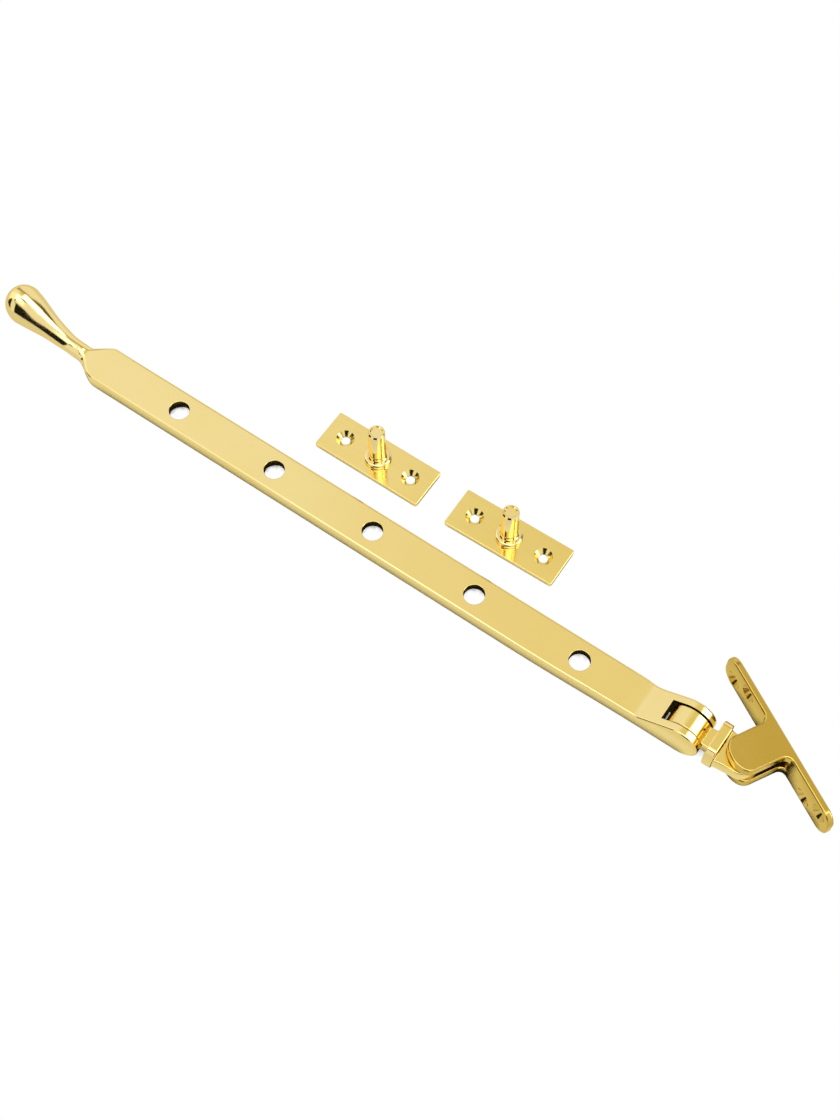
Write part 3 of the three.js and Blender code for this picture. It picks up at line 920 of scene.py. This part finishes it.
def table_material():
    material = bpy.data.materials.new("clear_table")
    material.use_nodes = True
    tree = material.node_tree
    tree.nodes.remove(tree.nodes["Principled BSDF"])
    occlusion = node(tree, "ShaderNodeAmbientOcclusion", Distance=TABLE_REACH)
    occlusion.samples = 8
    openness = occlusion.outputs["AO"]
    path = tree.nodes.new("ShaderNodeLightPath")
    to_metal = reflected_table(tree, openness)
    to_camera = seen_table(tree, openness)
    surface = shader_mix(tree, path.outputs["Is Camera Ray"], to_metal, to_camera)
    tree.links.new(surface, tree.nodes["Material Output"].inputs["Surface"])
    return material


def table():
    """A flat table a hair under the arm, of which only the painted dark gaps and the reflection of its
    painted glow show.
    """
    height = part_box("stay_arm")[0].z - TABLE_DROP
    side = TABLE_SIZE
    corners = [(-side, -side, height), (side, -side, height), (side, side, height), (-side, side, height)]
    floor = mesh_from("table_top", corners, [(0, 1, 2, 3)])
    for polygon in floor.data.polygons:
        if polygon.normal.z < 0:
            polygon.flip()
    floor.data.materials.append(table_material())


def camera():
    """The camera, turned by its heading, then pitched down, then rolled."""
    pitch = math.radians(CAMERA_PITCH)
    roll = math.radians(CAMERA_ROLL)
    up = Vector((0, 0, 1))
    ahead = heading(CAMERA_HEADING)
    right = ahead.cross(up)
    forward = math.cos(pitch) * ahead - math.sin(pitch) * up
    upright = math.sin(pitch) * ahead + math.cos(pitch) * up
    across = math.cos(roll) * right + math.sin(roll) * upright
    upward = -math.sin(roll) * right + math.cos(roll) * upright
    data = bpy.data.cameras.new("camera")
    data.sensor_fit = "VERTICAL"
    data.sensor_height = CAMERA_SENSOR
    data.lens = CAMERA_LENS
    data.clip_start = 0.01
    viewer = new_object("camera", data)
    turn = Matrix((across, upward, -forward)).transposed().to_4x4()
    viewer.matrix_world = Matrix.Translation(Vector(CAMERA_PLACE) * MM) @ turn
    bpy.context.scene.camera = viewer


# ---------------------------------------------------------------- scene

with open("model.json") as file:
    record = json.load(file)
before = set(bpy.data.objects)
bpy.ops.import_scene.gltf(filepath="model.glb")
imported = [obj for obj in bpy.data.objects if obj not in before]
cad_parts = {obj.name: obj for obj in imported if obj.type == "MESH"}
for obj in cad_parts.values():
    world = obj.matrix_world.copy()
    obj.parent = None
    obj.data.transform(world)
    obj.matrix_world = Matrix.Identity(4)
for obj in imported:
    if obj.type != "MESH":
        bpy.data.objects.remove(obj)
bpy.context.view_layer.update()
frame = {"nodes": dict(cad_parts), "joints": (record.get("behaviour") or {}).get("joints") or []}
joints = {joint["name"]: joint for joint in frame["joints"]}
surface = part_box("stay_arm")[0].z
swivel = Vector(joints["swivel"]["pos_m"])
lift = Vector(joints["lift"]["pos_m"])
reach = Vector((lift.x - swivel.x, lift.y - swivel.y))
link_length = reach.length / MM
arm_angle = math.degrees(math.atan2(reach.y, reach.x))

scale = Matrix.Scale(MM, 4)
link_turn = Matrix.Rotation(math.radians(arm_angle), 4, "Z")
to_link = Matrix.Translation((swivel.x, swivel.y, surface)) @ link_turn @ scale

arm_brass = brass("arm_brass", ARM_FINISH, arm_angle)
joint_brass = brass("joint_brass", JOINT_FINISH, arm_angle)
bracket_brass = brass("bracket_brass", BRACKET_FINISH, 90)
plate_brass = {
    number: brass("plate_brass_" + number, PLATE_FINISH, angle)
    for number, angle in PEG_PLATE_ANGLES.items()
}
peg_brass = brass("peg_brass", PEG_FINISH, 0, TURNED_GRAIN)

bracket = moved(bracket_body(), scale)
dress(bracket, bracket_brass, "bracket_brass", "bracket", "mounting_bracket")
yoke = moved(yoke_body(link_length), to_link)
dress(yoke, joint_brass, "joint_brass", "yoke", "swivel_yoke")
arm = moved(arm_body(link_length), to_link)
dress(arm, arm_brass, "arm_brass", "arm", "stay_arm")

for number, angle in PEG_PLATE_ANGLES.items():
    low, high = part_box("peg_" + number)
    seat = (low + high) / 2
    turn = Matrix.Rotation(math.radians(angle), 4, "Z")
    place = Matrix.Translation((seat.x, seat.y, surface)) @ turn @ scale
    body_name = "loose_peg_" + number
    plate = moved(peg_plate_body("peg_plate_body_" + number), place)
    dress(plate, plate_brass[number], "plate_brass", body_name, "peg_plate_" + number)
    peg = moved(peg_body("peg_body_" + number), place)
    dress(peg, peg_brass, "peg_brass", body_name, "peg_" + number)

for name in ("swivel_pin", "lift_pin"):
    pin = frame["nodes"][name]
    pin.data.materials.clear()
    pin.data.materials.append(peg_brass)

table()
studio(arm_angle)
camera()
bpy.context.scene.view_settings.view_transform = "Standard"
